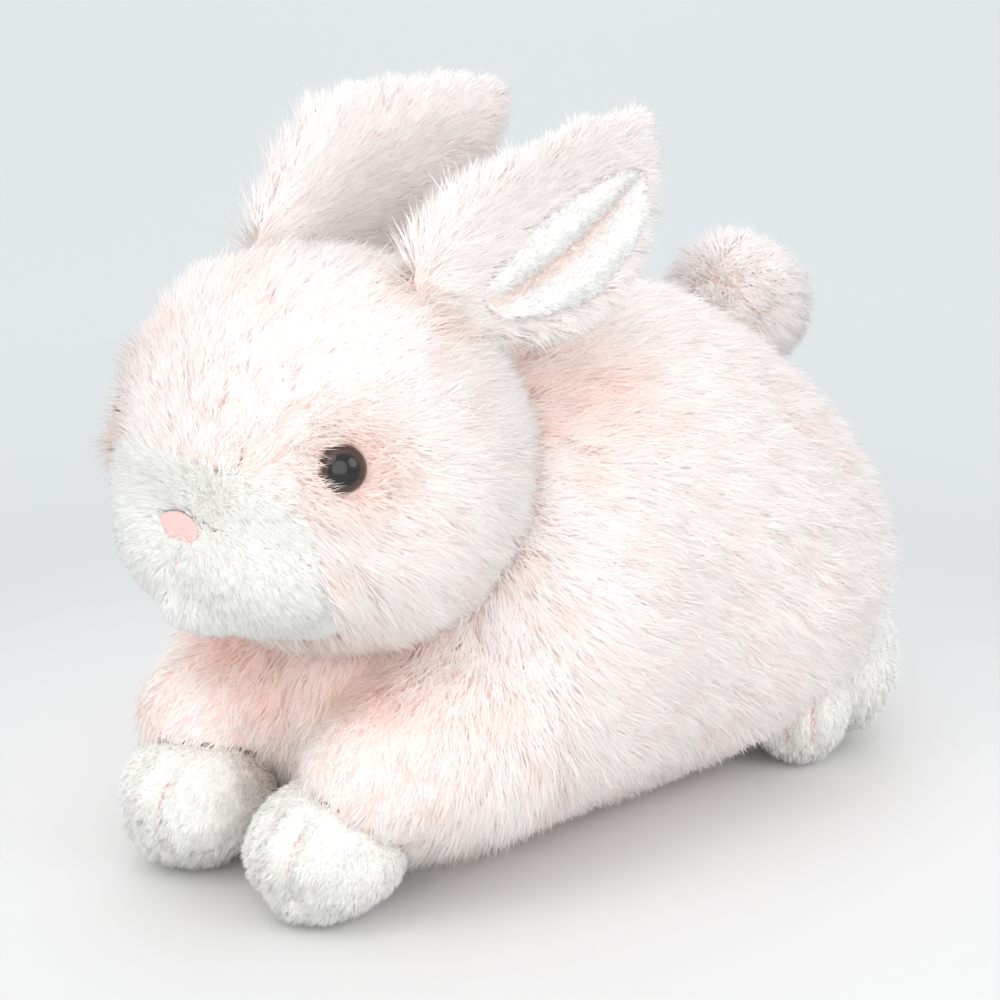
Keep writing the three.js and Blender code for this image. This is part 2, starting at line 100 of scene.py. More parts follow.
def bump_at(spots, centre, reach):
    """1 at the centre, fading to nothing over reach, which may differ along x, y and z."""
    return np.exp(-(((spots - centre) / reach) ** 2).sum(-1))


def ripple(spots, size, seed):
    """A soft random wave between about -1 and 1 whose swells are about size apart."""
    rng = np.random.default_rng(seed)
    total = np.zeros(len(spots))
    for _ in range(5):
        way = unit(rng.normal(size=3)) * 2 * math.pi / (size * rng.uniform(0.8, 1.6))
        total += np.sin(spots @ way + rng.uniform(0, 2 * math.pi))
    return total / 2.6


def deselect_all():
    bpy.ops.object.select_all(action="DESELECT")


def take_up(piece):
    deselect_all()
    piece.select_set(True)
    bpy.context.view_layer.objects.active = piece


def apply_modifier(piece, kind, **settings):
    take_up(piece)
    modifier = piece.modifiers.new("work", kind)
    for key, value in settings.items():
        setattr(modifier, key, value)
    bpy.ops.object.modifier_apply(modifier="work")


def points_of(piece):
    co = np.empty(len(piece.data.vertices) * 3, np.float32)
    piece.data.vertices.foreach_get("co", co)
    return co.reshape(-1, 3).astype(float) / MM


def set_points(piece, spots):
    piece.data.vertices.foreach_set("co", (spots * MM).astype(np.float32).ravel())
    piece.data.update()


def normals_of(piece):
    found = np.empty(len(piece.data.vertices) * 3, np.float32)
    piece.data.vertex_normals.foreach_get("vector", found)
    return found.reshape(-1, 3).astype(float)


def mesh_piece(name, spots, faces):
    """A piece from points in millimetres and faces."""
    mesh = bpy.data.meshes.new(name)
    mesh.from_pydata([tuple(p) for p in spots * MM], [], faces)
    piece = bpy.data.objects.new(name, mesh)
    bpy.context.scene.collection.objects.link(piece)
    mesh.polygons.foreach_set("use_smooth", [True] * len(mesh.polygons))
    return piece


# ---------------------------------------------------------------- covers and stuffing

def soft_copy(node, name, voxel, rounding):
    """A cover or a lump of stuffing, evenly remeshed from its solid and rounded off."""
    piece = bpy.data.objects.new(name, nodes[node].data.copy())
    bpy.context.scene.collection.objects.link(piece)
    take_up(piece)
    bpy.ops.object.mode_set(mode="EDIT")
    bpy.ops.mesh.select_all(action="SELECT")
    bpy.ops.mesh.remove_doubles(threshold=0.00001)
    bpy.ops.object.mode_set(mode="OBJECT")
    apply_modifier(piece, "REMESH", mode="VOXEL", voxel_size=voxel * MM)
    apply_modifier(piece, "SMOOTH", factor=0.5, iterations=rounding)
    piece.data.polygons.foreach_set("use_smooth", [True] * len(piece.data.polygons))
    piece.data.materials.clear()
    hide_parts(node)
    return piece


def swell(piece, amount):
    """Moves every point along its normal by the amount that the function gives for it."""
    spots = points_of(piece)
    set_points(piece, spots + normals_of(piece) * amount(spots)[:, None])


def steady(value):
    return lambda spots: np.full(len(spots), float(value))


def open_air(piece, reach, neighbours):
    """For each point of a skin, 1 where no neighbour lies above it within reach, else 0."""
    spots, outwards = points_of(piece), normals_of(piece)
    found = np.ones(len(spots))
    for i, (spot, way) in enumerate(zip(spots + outwards * 0.8, outwards)):
        hit = neighbours.ray_cast(Vector(spot * MM), Vector(way), reach * MM)
        found[i] = hit[0] is None
    return found


def tree_of_nodes(wanted):
    spots, faces = [], []
    for name, node in nodes.items():
        if not wanted(name):
            continue
        start = len(spots)
        spots += [v.co.copy() for v in node.data.vertices]
        faces += [[start + i for i in face.vertices] for face in node.data.polygons]
    return BVHTree.FromPolygons(spots, faces)


WHOLE_TOY = tree_of_nodes(lambda name: True)
WITHOUT_EARS = tree_of_nodes(lambda name: not name.startswith("ear_"))
EARS_ONLY = tree_of_nodes(lambda name: name.startswith("ear_"))
clear = {}


# ---------------------------------------------------------------- pile

def clump_centres(spots, size, seed):
    """For each spot the nearest of many scattered points about size apart, and that point's own number, 0 to 1."""
    cell = np.floor(spots / size).astype(np.int64)
    nearest = np.full(len(spots), 1e9)
    centre = np.zeros_like(spots)
    own = np.zeros(len(spots))
    for step in np.ndindex(3, 3, 3):
        there = cell + np.array(step) - 1
        key = (there[:, 0] * 73856093) ^ (there[:, 1] * 19349663) ^ (there[:, 2] * 83492791) ^ seed
        key = (key * 2654435761) & 0xFFFFFFFF
        key = ((key >> 13) ^ key) * 1597334677 & 0xFFFFFFFF
        offsets = np.stack([key & 1023, (key >> 10) & 1023, (key >> 20) & 1023], 1) / 1023
        spot = (there + offsets) * size
        far = ((spots - spot) ** 2).sum(1)
        closer = far < nearest
        nearest = np.where(closer, far, nearest)
        centre = np.where(closer[:, None], spot, centre)
        own = np.where(closer, ((key >> 5) & 4095) / 4095, own)
    return centre, own


def roots_on(piece, cover, count, rng):
    """Random places on a skin, spread by area times cover, with their normals."""
    mesh = piece.data
    mesh.calc_loop_triangles()
    corners = np.empty(len(mesh.loop_triangles) * 3, np.int32)
    mesh.loop_triangles.foreach_get("vertices", corners)
    corners = corners.reshape(-1, 3)
    spots, outwards = points_of(piece), normals_of(piece)
    a, b, c = (spots[corners[:, k]] for k in range(3))
    area = np.linalg.norm(np.cross(b - a, c - a), axis=1) / 2
    weight = area * cover[corners].mean(1)
    pick = rng.choice(len(corners), count, p=weight / weight.sum())
    r1, r2 = np.sqrt(rng.random(count)), rng.random(count)
    share = np.stack([1 - r1, r1 * (1 - r2), r1 * r2], 1)[:, :, None]
    return (spots[corners[pick]] * share).sum(1), unit((outwards[corners[pick]] * share).sum(1)), weight.sum()


def grow_pile(name, skin, cover, density, length, comb, look, body, seed,
              width=0.31, lifts=(0.85, 0.4), wander=0.28, clump=5.0, gather=0.45, uneven=0.25,
              painted_shade_and_tone=None, fall=0.12, stand=None, sink=0.5, keep_off=None):
    """Pile sewn into a skin: thousands of tapered hairs, each bent once, combed along a field and drawn into tufts."""
    rng = np.random.default_rng(seed)
    cover = clear[skin.name] * cover
    _, _, weight = roots_on(skin, cover, 1, rng)
    count = int(weight * density)
    root, out, _ = roots_on(skin, cover, count, rng)

    lay = comb(root)
    lay = lay - out * (lay * out).sum(1, keepdims=True)
    strength = np.minimum(np.linalg.norm(lay, axis=1, keepdims=True), 1)
    lay = unit(lay) * strength
    centre, own = clump_centres(root, clump, seed)
    across = np.cross(out, lay)
    sway = (own - 0.5) * 1.1
    stray = rng.normal(size=(count, 1)) * wander
    lay = lay + across * (sway[:, None] * 0.6 + stray)
    lay += (rng.normal(size=(count, 3)) * wander * 0.5)

    tall = length(root) * (1 - uneven * rng.random(count)) * (1 + 0.22 * (own - 0.5))
    tall = tall[:, None]
    drop = np.array([0, 0, -fall])
    lift = 1 + rng.normal(size=(count, 1)) * 0.16
    if stand is not None:
        lift = lift * stand(root)[:, None]
    first = unit(out * lifts[0] * lift + lay)
    second = unit(out * lifts[1] * lift + lay + drop * 2)
    pull = centre - root
    pull = pull - out * (pull * out).sum(1, keepdims=True)
    base = root - out * sink
    middle = root + first * tall * 0.45 + pull * gather * 0.35
    tip = middle + second * tall * 0.55 + pull * gather * 0.75

    lowest = 0.4 + rng.random((count, 1)) * 0.8
    middle[:, 2:] = np.maximum(middle[:, 2:], lowest)
    tip[:, 2:] = np.maximum(tip[:, 2:], lowest)
    tip[:, 0] = np.clip(tip[:, 0], -WIDEST_PILE, WIDEST_PILE)

    kept = np.ones(count, bool)
    if keep_off is not None:
        kept = ~keep_off(middle, tip)
    root, out, base, middle, tip = (x[kept] for x in (root, out, base, middle, tip))
    own, count = own[kept], int(kept.sum())

    way = unit(tip - base)
    side = unit(np.cross(way, out))
    roll = rng.normal(size=(count, 1)) * 0.5
    side = side * np.cos(roll) + np.cross(way, side) * np.sin(roll)
    facing = np.cross(side, way)
    side = np.where((facing * out).sum(1, keepdims=True) < 0, -side, side)
    half = width / 2 * (0.75 + 0.5 * rng.random((count, 1)))
    spots = np.stack([base, middle - side * half, middle + side * half, tip], 1)
    turn = rng.normal(size=(count, 3)) * 0.18
    at_root = unit(out + turn)
    at_middle = unit(out + turn + second[kept] * 0.1)
    at_tip = unit(out + turn * 1.3 + second[kept] * 0.45)
    shading = np.stack([at_root, at_middle, at_middle, at_tip], 1)

    mesh = bpy.data.meshes.new(name)
    mesh.vertices.add(count * 4)
    mesh.vertices.foreach_set("co", (spots * MM).astype(np.float32).ravel())
    faces = (np.arange(count)[:, None] * 4 + np.array([0, 2, 1, 1, 2, 3])).astype(np.int32)
    mesh.loops.add(count * 6)
    mesh.loops.foreach_set("vertex_index", faces.ravel())
    mesh.polygons.add(count * 2)
    mesh.polygons.foreach_set("loop_start", np.arange(0, count * 6, 3, dtype=np.int32))
    mesh.update(calc_edges=True)
    mesh.polygons.foreach_set("use_smooth", [True] * len(mesh.polygons))
    mesh.normals_split_custom_set_from_vertices(shading.reshape(-1, 3))

    # Painted shade: how much deeper pink each hair gets where shade falls, plus any patchy tone, kept in the third
    # channel of its colour.
    shade_tone_amount = np.zeros(count) if painted_shade_and_tone is None else np.clip(painted_shade_and_tone(root), 0, 1)
    mix = rng.random(count) * 0.65 + own * 0.35
    along = np.broadcast_to(np.array([0, 0.5, 0.5, 1.0]), (count, 4))
    colour = np.stack([along, np.repeat(mix[:, None], 4, 1), np.repeat(shade_tone_amount[:, None], 4, 1),
                       np.ones((count, 4))], 2)
    made = mesh.attributes.new("pile", "FLOAT_COLOR", "POINT")
    made.data.foreach_set("color", colour.astype(np.float32).ravel())

    pile = bpy.data.objects.new(name, mesh)
    bpy.context.scene.collection.objects.link(pile)
    mesh.materials.append(look)
    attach(pile, body)
    return pile


# ---------------------------------------------------------------- finishes

def new_group(name, inputs, outputs):
    group = bpy.data.node_groups.new(name, "ShaderNodeTree")
    for label, kind, value in inputs:
        socket = group.interface.new_socket(label, in_out="INPUT", socket_type=kind)
        socket.default_value = value
    for label, kind in outputs:
        group.interface.new_socket(label, in_out="OUTPUT", socket_type=kind)
    return group, group.nodes.new("NodeGroupInput"), group.nodes.new("NodeGroupOutput")


def colour_mix(tree, factor, a, b, blend="MIX"):
    mix = tree.nodes.new("ShaderNodeMix")
    mix.data_type = "RGBA"
    mix.blend_type = blend
    for socket, value in ((mix.inputs[0], factor), (mix.inputs[6], a), (mix.inputs[7], b)):
        if hasattr(value, "is_output"):
            tree.links.new(value, socket)
        else:
            socket.default_value = value
    return mix.outputs[2]


def sums(tree, operation, a, b=0.0, c=0.0, clamp=False):
    node = tree.nodes.new("ShaderNodeMath")
    node.operation = operation
    node.use_clamp = clamp
    for socket, value in zip(node.inputs, (a, b, c)):
        if hasattr(value, "is_output"):
            tree.links.new(value, socket)
        else:
            socket.default_value = value
    return node.outputs[0]


def rgb(r, g, b):
    return (r, g, b, 1)


def hair_tint_group():
    """Colour along a hair, from its root to its tip, varied from hair to hair, with painted shade: a deeper pink mixed
    in where shade falls, along with a little patchy pink tone.
    """
    group, given, result = new_group("hair_tint", [
        ("Root", "NodeSocketColor", rgb(1, 1, 1)), ("Tip", "NodeSocketColor", rgb(1, 1, 1)),
        ("Painted shade and tone", "NodeSocketColor", rgb(1, 1, 1)), ("Spread", "NodeSocketFloat", 0.1),
    ], [("Color", "NodeSocketColor")])
    hair = group.nodes.new("ShaderNodeAttribute")
    hair.attribute_name = "pile"
    parts = group.nodes.new("ShaderNodeSeparateColor")
    group.links.new(hair.outputs["Color"], parts.inputs[0])
    along, own, shade_tone_amount = parts.outputs
    rise = sums(group, "POWER", along, 0.7)
    base = colour_mix(group, rise, given.outputs["Root"], given.outputs["Tip"])
    share = sums(group, "MULTIPLY", shade_tone_amount, 0.85)
    with_shade_and_tone = colour_mix(group, share, base, given.outputs["Painted shade and tone"])
    dim = sums(group, "SUBTRACT", 1.0, sums(group, "MULTIPLY", own, given.outputs["Spread"]))
    grey = group.nodes.new("ShaderNodeCombineColor")
    for i in range(3):
        group.links.new(dim, grey.inputs[i])
    group.links.new(colour_mix(group, 1.0, with_shade_and_tone, grey.outputs[0], "MULTIPLY"), result.inputs[0])
    return group


def cloth_group():
    """Knitted backing cloth: rows of fine loops, with softly uneven dye."""
    group, given, result = new_group("backing_cloth", [
        ("Color", "NodeSocketColor", rgb(1, 1, 1)), ("Shade", "NodeSocketColor", rgb(0.8, 0.8, 0.8)),
        ("Loops", "NodeSocketFloat", 1500.0),
    ], [("Color", "NodeSocketColor"), ("Height", "NodeSocketFloat")])
    place = group.nodes.new("ShaderNodeTexCoord").outputs["Object"]
    rows = []
    for direction in ("X", "Z"):
        wave = group.nodes.new("ShaderNodeTexWave")
        wave.bands_direction = direction
        wave.inputs["Distortion"].default_value = 1.5
        wave.inputs["Detail"].default_value = 1
        group.links.new(place, wave.inputs["Vector"])
        group.links.new(given.outputs["Loops"], wave.inputs["Scale"])
        rows.append(wave.outputs["Fac"])
    height = sums(group, "MULTIPLY", rows[0], rows[1])
    cloud = group.nodes.new("ShaderNodeTexNoise")
    cloud.inputs["Scale"].default_value = 120
    cloud.inputs["Detail"].default_value = 4
    group.links.new(place, cloud.inputs["Vector"])
    share = sums(group, "ADD", sums(group, "MULTIPLY", height, 0.5), sums(group, "MULTIPLY", cloud.outputs["Fac"], 0.5))
    group.links.new(colour_mix(group, share, given.outputs["Shade"], given.outputs["Color"]), result.inputs[0])
    group.links.new(height, result.inputs[1])
    return group


def grain_group():
    """Fine uneven grain for wadding, flock and plastic."""
    group, given, result = new_group("fine_grain", [
        ("Color", "NodeSocketColor", rgb(1, 1, 1)), ("Shade", "NodeSocketColor", rgb(0.8, 0.8, 0.8)),
        ("Size", "NodeSocketFloat", 900.0),
    ], [("Color", "NodeSocketColor"), ("Height", "NodeSocketFloat")])
    place = group.nodes.new("ShaderNodeTexCoord").outputs["Object"]
    fine = group.nodes.new("ShaderNodeTexNoise")
    fine.inputs["Detail"].default_value = 6
    fine.inputs["Roughness"].default_value = 0.65
    group.links.new(place, fine.inputs["Vector"])
    group.links.new(given.outputs["Size"], fine.inputs["Scale"])
    grainy = colour_mix(group, fine.outputs["Fac"], given.outputs["Shade"], given.outputs["Color"])
    group.links.new(grainy, result.inputs[0])
    group.links.new(fine.outputs["Fac"], result.inputs[1])
    return group


HAIR_TINT = hair_tint_group()
BACKING = cloth_group()
GRAIN = grain_group()


def finish_of(name, group, values, bump=0.0, depth=0.0002, **shader_values):
    """A material whose colour, and bump if any, come from one of the groups."""
    material = bpy.data.materials.new(name)
    material.use_nodes = True
    tree = material.node_tree
    shader = tree.nodes["Principled BSDF"]
    source = tree.nodes.new("ShaderNodeGroup")
    source.node_tree = group
    for key, value in values.items():
        source.inputs[key].default_value = value
    tree.links.new(source.outputs["Color"], shader.inputs["Base Color"])
    if bump:
        relief = tree.nodes.new("ShaderNodeBump")
        relief.inputs["Strength"].default_value = bump
        relief.inputs["Distance"].default_value = depth
        tree.links.new(source.outputs["Height"], relief.inputs["Height"])
        tree.links.new(relief.outputs[0], shader.inputs["Normal"])
    for key, value in shader_values.items():
        shader.inputs[key.replace("_", " ")].default_value = value
    return material


def pile_finish(name, root, tip, painted_shade_and_tone, spread):
    """Soft fibre. A hair seen from its underside is as bright as the light that falls on its upper side."""
    material = finish_of(name, HAIR_TINT, {"Root": root, "Tip": tip, "Painted shade and tone": painted_shade_and_tone, "Spread": spread},
                         Roughness=0.7, Specular_IOR_Level=0.2)
    tree = material.node_tree
    shader = tree.nodes["Principled BSDF"]
    source = next(n for n in tree.nodes if n.type == "GROUP")
    through = tree.nodes.new("ShaderNodeBsdfTranslucent")
    tree.links.new(source.outputs["Color"], through.inputs["Color"])
    both = tree.nodes.new("ShaderNodeMixShader")
    underside = tree.nodes.new("ShaderNodeNewGeometry").outputs["Backfacing"]
    share = sums(tree, "MULTIPLY_ADD", underside, 0.88, 0.12)
    tree.links.new(share, both.inputs[0])
    tree.links.new(shader.outputs[0], both.inputs[1])
    tree.links.new(through.outputs[0], both.inputs[2])
    tree.links.new(both.outputs[0], tree.nodes["Material Output"].inputs["Surface"])
    return material


# The third colour of each pile is the deeper pink of its painted shade, also used for its patchy tone.
PINK_PILE = pile_finish("pink_pile", rgb(0.985, 0.87, 0.84), rgb(0.99, 0.965, 0.952), rgb(0.96, 0.69, 0.59), 0.03)
WHITE_PILE = pile_finish("white_pile", rgb(0.975, 0.97, 0.945), rgb(0.985, 0.985, 0.965), rgb(0.97, 0.86, 0.8), 0.02)
LINING_PILE = pile_finish("ear_lining_pile", rgb(0.96, 0.94, 0.93), rgb(0.975, 0.975, 0.97), rgb(0.95, 0.8, 0.75), 0.03)
PINK_BACKING = finish_of("pink_backing", BACKING, {
    "Color": rgb(0.97, 0.82, 0.78), "Shade": rgb(0.92, 0.72, 0.67), "Loops": 420.0}, 0.5, Roughness=0.95)
WHITE_BACKING = finish_of("white_backing", BACKING, {
    "Color": rgb(0.97, 0.95, 0.92), "Shade": rgb(0.92, 0.88, 0.84), "Loops": 420.0}, 0.5, Roughness=0.95)
WADDING = finish_of("wadding", GRAIN, {
    "Color": rgb(0.96, 0.95, 0.93), "Shade": rgb(0.82, 0.8, 0.77), "Size": 500.0}, 0.6, 0.0006, Roughness=1.0)
THREAD = finish_of("pink_thread", GRAIN, {
    "Color": rgb(0.84, 0.58, 0.56), "Shade": rgb(0.68, 0.42, 0.42), "Size": 2600.0}, 0.4, Roughness=0.75,
    Sheen_Weight=0.3)
NOSE_FLOCK = finish_of("nose_flock", GRAIN, {
    "Color": rgb(0.94, 0.68, 0.64), "Shade": rgb(0.85, 0.52, 0.5), "Size": 2200.0}, 0.7, 0.0003, Roughness=0.9,
    Sheen_Weight=0.5, Sheen_Roughness=0.35)
WASHER = finish_of("washer_plastic", GRAIN, {
    "Color": rgb(0.85, 0.85, 0.83), "Shade": rgb(0.74, 0.74, 0.73), "Size": 1200.0}, 0.2, Roughness=0.45)


def eye_finish():
    """Glossy black plastic with a dark brown ring that shows near the rim."""
    material = bpy.data.materials.new("eye_plastic")
    material.use_nodes = True
    tree = material.node_tree
    shader = tree.nodes["Principled BSDF"]
    rim = tree.nodes.new("ShaderNodeAttribute")
    rim.attribute_name = "rim"
    ramp = tree.nodes.new("ShaderNodeValToRGB")
    stops = ramp.color_ramp
    stops.elements[0].position = 0.6
    stops.elements[0].color = rgb(0.004, 0.003, 0.004)
    stops.elements[1].position = 0.72
    stops.elements[1].color = rgb(0.06, 0.027, 0.02)
    edge = stops.elements.new(0.98)
    edge.color = rgb(0.03, 0.013, 0.011)
    tree.links.new(rim.outputs["Fac"], ramp.inputs[0])
    tree.links.new(ramp.outputs[0], shader.inputs["Base Color"])
    shader.inputs["Roughness"].default_value = 0.12
    shader.inputs["IOR"].default_value = 1.33
    shader.inputs["Coat Weight"].default_value = 0.7
    shader.inputs["Coat Roughness"].default_value = 0.03
    return material


EYE_PLASTIC = eye_finish()


# ---------------------------------------------------------------- skins

def finished_skin(node, name, body, voxel, rounding, look, shape=None):
    skin = soft_copy(node, name, voxel, rounding)
    clear[name] = open_air(skin, 3.5, EARS_ONLY if node.startswith("ear_") else WHOLE_TOY)
    if shape:
        swell(skin, shape)
    skin.data.materials.append(look)
    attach(skin, body)
    return skin


def folded(spots):
    """The spots with the right side laid over the left."""
    return np.stack([np.abs(spots[:, 0]), spots[:, 1], spots[:, 2]], 1)


def foot_distance(spots):
    """Roughly how many millimetres each spot lies outside the hind foot on its side."""
    near = np.full(len(spots), 1e9)
    for centre, radii in ((HEEL_CENTRE, HEEL_RADII), (TOE_CENTRE, TOE_RADII)):
        reach = np.sqrt((((folded(spots) - centre) / radii) ** 2).sum(1))
        near = np.minimum(near, (reach - 1) * 13)
    return near


def hug_the_feet(piece):
    """Draws the cloth in against each hind foot, as the seam round its root does."""
    spots = points_of(piece)
    both = folded(spots)
    near = foot_distance(spots)
    at_heel = np.linalg.norm(both - HEEL_CENTRE, axis=1) < np.linalg.norm(both - TOE_CENTRE, axis=1)
    centre = np.where(at_heel[:, None], HEEL_CENTRE, TOE_CENTRE) * np.stack(
        [np.sign(spots[:, 0]), np.ones(len(spots)), np.ones(len(spots))], 1)
    pull = np.clip(near - 0.6, 0, 6.0) * smooth_step(14, 7, near) * smooth_step(4, 12, spots[:, 2])
    set_points(piece, spots + unit(centre - spots) * pull[:, None])


def torso_shape(spots):
    both = folded(spots)
    haunch = 4.0 * bump_at(both, np.array([58, 52, 52]), np.array([30, 30, 30]))
    haunch *= smooth_step(1, 14, foot_distance(spots))
    flank = -2.0 * bump_at(both, np.array([62, 8, 50]), np.array([25, 18, 35]))
    shoulder = 2.5 * bump_at(both, np.array([55, -30, 62]), np.array([25, 18, 28]))
    chest = 8.0 * bump_at(both, np.array([0, -62, 38]), np.array([11, 14, 26]))
    return haunch + flank + shoulder + chest + 0.5 * ripple(spots, 40, 3)


def cheek_shape(spots):
    both = folded(spots)
    cheek = 2.0 * bump_at(both, np.array([42, -78, 88]), np.array([20, 18, 18]))
    socket = -1.6 * bump_at(both, EYE_CENTRE, np.array([9, 9, 9]))
    brow = 3.5 * bump_at(both, np.array([30, -72, 140]), np.array([17, 22, 16]))
    return cheek + socket + brow + 0.35 * ripple(spots, 30, 5)


def muzzle_shape(spots):
    x, z = spots[:, 0], spots[:, 2]
    groove = -1.7 * np.exp(-((x / 1.8) ** 2)) * smooth_step(95, 89, z)
    puff = 1.2 * bump_at(folded(spots), np.array([14, -108, 88]), np.array([11, 14, 11]))
    return groove + puff + 0.25 * ripple(spots, 14, 6)


def face_shape(spots):
    return cheek_shape(spots) + muzzle_shape(spots) * (spots[:, 1] < -96) + 0.5 * white_face(spots)


def groove_shape(lines, depth, reach, lumps, seed):
    """Pulls a skin in along sewn lines."""
    def shape(spots):
        near = np.full(len(spots), 1e9)
        for line in lines:
            for a, b in zip(line[:-1], line[1:]):
                t = np.clip(((spots - a) @ (b - a)) / ((b - a) @ (b - a)), 0, 1)
                near = np.minimum(near, np.linalg.norm(spots - a - t[:, None] * (b - a), axis=1))
        return -depth * np.exp(-((near / reach) ** 2)) + lumps * ripple(spots, 16, seed)
    return shape


def toe_lines(centre, radii, spread, turn, side):
    """The two sewn lines between three toes, down the front of a paw."""
    lines = {}
    angle = math.radians(turn)
    for place, offset in (("inner", -spread * side), ("outer", spread * side)):
        spots = []
        for height in np.linspace(0.7, -0.5, 9):
            reach = math.sqrt(max(1 - (offset / radii[0]) ** 2 - height ** 2, 0.02))
            x, y = offset, -radii[1] * reach
            spots.append(centre + np.array([
                x * math.cos(angle) - y * math.sin(angle),
                x * math.sin(angle) + y * math.cos(angle), radii[2] * height]))
        lines[place] = np.array(spots)
    return lines


PAW_LINES = {s: toe_lines(mirrored(FOREPAW_CENTRE, k), FOREPAW_RADII, 5, 0, k) for s, k in SIDES.items()}
HIND_LINES = {s: toe_lines(mirrored(TOE_CENTRE, k), TOE_RADII, 4, 38 * k, k) for s, k in SIDES.items()}


def two_tone(skin):
    """The head's cloth is white where it runs on from the muzzle."""
    skin.data.materials.append(WHITE_BACKING)
    spots = points_of(skin)
    white = white_face(spots) > 0
    corners = np.empty(len(skin.data.loops), np.int32)
    skin.data.loops.foreach_get("vertex_index", corners)
    starts = np.empty(len(skin.data.polygons), np.int32)
    skin.data.polygons.foreach_get("loop_start", starts)
    skin.data.polygons.foreach_set("material_index", white[corners[starts]].astype(np.int32))
    skin.data.update()


def white_face(spots):
    """1 inside the white patch over the muzzle."""
    x = np.abs(spots[:, 0]) / WHITE_HALF_WIDTH
    z = np.abs(spots[:, 2] - WHITE_CENTRE_Z) / WHITE_HALF_HEIGHT
    ragged = 0.05 * ripple(spots, 5, 12)
    return ((x ** 2.8 + z ** 2.8 + ragged < 1) & (spots[:, 1] < -76)).astype(float)


def ear_frame(side_name):
    side = SIDES[side_name]
    lift = math.radians(EAR_LIFT[side_name])
    along = unit(np.array([-0.05 * side, math.cos(lift), math.sin(lift)]))
    outwards = np.array([side, -0.12, 0.1])
    outwards = unit(outwards - along * (outwards @ along))
    across = unit(np.cross(outwards, along) * side)
    return mirrored(EAR_ROOT, side), along, outwards, across


def on_ear(side_name, spots):
    """How far each spot lies along an ear, and how far above the ear's bowed middle line."""
    root, along, _, across = ear_frame(side_name)
    far = (spots - root) @ along
    off = (spots - root) @ across + EAR_DROP * np.sin(math.pi * np.clip(far / EAR_LENGTH, 0, 1))
    return far, off


def shape_ear(piece, side_name, rolls):
    """Widens an ear's heel, lets its tip droop, and rolls the lining to both sides of its fold."""
    _, _, outwards, across = ear_frame(side_name)
    spots, facing = points_of(piece), normals_of(piece)
    far, off = on_ear(side_name, spots)
    upper = smooth_step(0, 12, off)
    lift = sum(amount * np.exp(-(((far - place) / 18) ** 2)) for place, amount in EAR_MARGIN[side_name]) * upper
    lift -= EAR_TIP_DROOP[side_name] * smooth_step(38, 82, far)
    moved = across * lift[:, None]
    if rolls:
        middle = off + EAR_LOW
        front = smooth_step(0, 0.5, facing @ outwards)
        roll = 2.0 * np.exp(-(((np.abs(middle) - 6) / 3.6) ** 2)) - 1.2 * np.exp(-((middle / 1.8) ** 2))
        moved = moved + outwards * (roll * front * smooth_step(4, 20, far))[:, None]
    set_points(piece, spots + moved)


skins = {}
for side_name, side in SIDES.items():
    skins["torso_" + side_name] = finished_skin(
        "torso_cover_" + side_name, "torso_backing_" + side_name, "torso", 1.7, 26,
        PINK_BACKING, shape=torso_shape)
    hug_the_feet(skins["torso_" + side_name])
    skins["head_" + side_name] = finished_skin(
        "head_cover_" + side_name, "head_backing_" + side_name, "head", 1.3, 16,
        PINK_BACKING, shape=cheek_shape)
    two_tone(skins["head_" + side_name])
    skins["ear_" + side_name] = finished_skin(
        "ear_outer_" + side_name, "ear_back_" + side_name, "ear_" + side_name, 1.1, 6,
        PINK_BACKING)
    skins["lining_" + side_name] = finished_skin(
        "ear_lining_" + side_name, "ear_lining_cloth_" + side_name, "ear_" + side_name, 0.7, 3,
        WHITE_BACKING)
    shape_ear(skins["ear_" + side_name], side_name, False)
    shape_ear(skins["lining_" + side_name], side_name, True)
    skins["sleeve_" + side_name] = finished_skin(
        "foreleg_sleeve_" + side_name, "sleeve_backing_" + side_name, "foreleg_" + side_name, 1.3, 12,
        PINK_BACKING)
    skins["paw_" + side_name] = finished_skin(
        "forepaw_cover_" + side_name, "forepaw_backing_" + side_name, "foreleg_" + side_name, 1.0, 8,
        WHITE_BACKING, shape=groove_shape(PAW_LINES[side_name].values(), 2.2, 2.6, 0.5, 8))
    skins["foot_" + side_name] = finished_skin(
        "hind_foot_cover_" + side_name, "hind_foot_backing_" + side_name, "hind_foot_" + side_name, 1.0, 8,
        WHITE_BACKING, shape=groove_shape(HIND_LINES[side_name].values(), 1.8, 2.2, 0.4, 9))
    for part, body in (("foreleg", "foreleg_"), ("hind_foot", "hind_foot_")):
        finished_skin(part + "_stuffing_" + side_name, part + "_filling_" + side_name, body + side_name,
                      2.0, 4, WADDING)
skins["crown"] = finished_skin("head_crown_gusset", "crown_backing", "head", 1.3, 16, PINK_BACKING,
                               shape=cheek_shape)
two_tone(skins["crown"])
skins["muzzle"] = finished_skin("muzzle_cover", "muzzle_backing", "head", 1.0, 8, WHITE_BACKING,
                                shape=lambda spots: muzzle_shape(spots) - SHORT_PILE_SINK)
skins["chin"] = finished_skin("chin_patch", "chin_backing", "head", 0.8, 4, WHITE_BACKING,
                              shape=steady(-SHORT_PILE_SINK))
skins["tail"] = finished_skin("tail_cover", "tail_backing", "tail", 1.3, 10, PINK_BACKING)
skins["belly"] = finished_skin("belly_panel", "belly_cloth_panel", "torso", 1.2, 2, PINK_BACKING)
finished_skin("torso_stuffing", "torso_filling", "torso", 3.5, 4, WADDING)
finished_skin("head_stuffing", "head_filling", "head", 2.5, 4, WADDING)
finished_skin("neck_stuffing", "neck_filling", "neck", 2.0, 2, WADDING)
finished_skin("tail_stuffing", "tail_filling", "tail", 2.0, 4, WADDING)


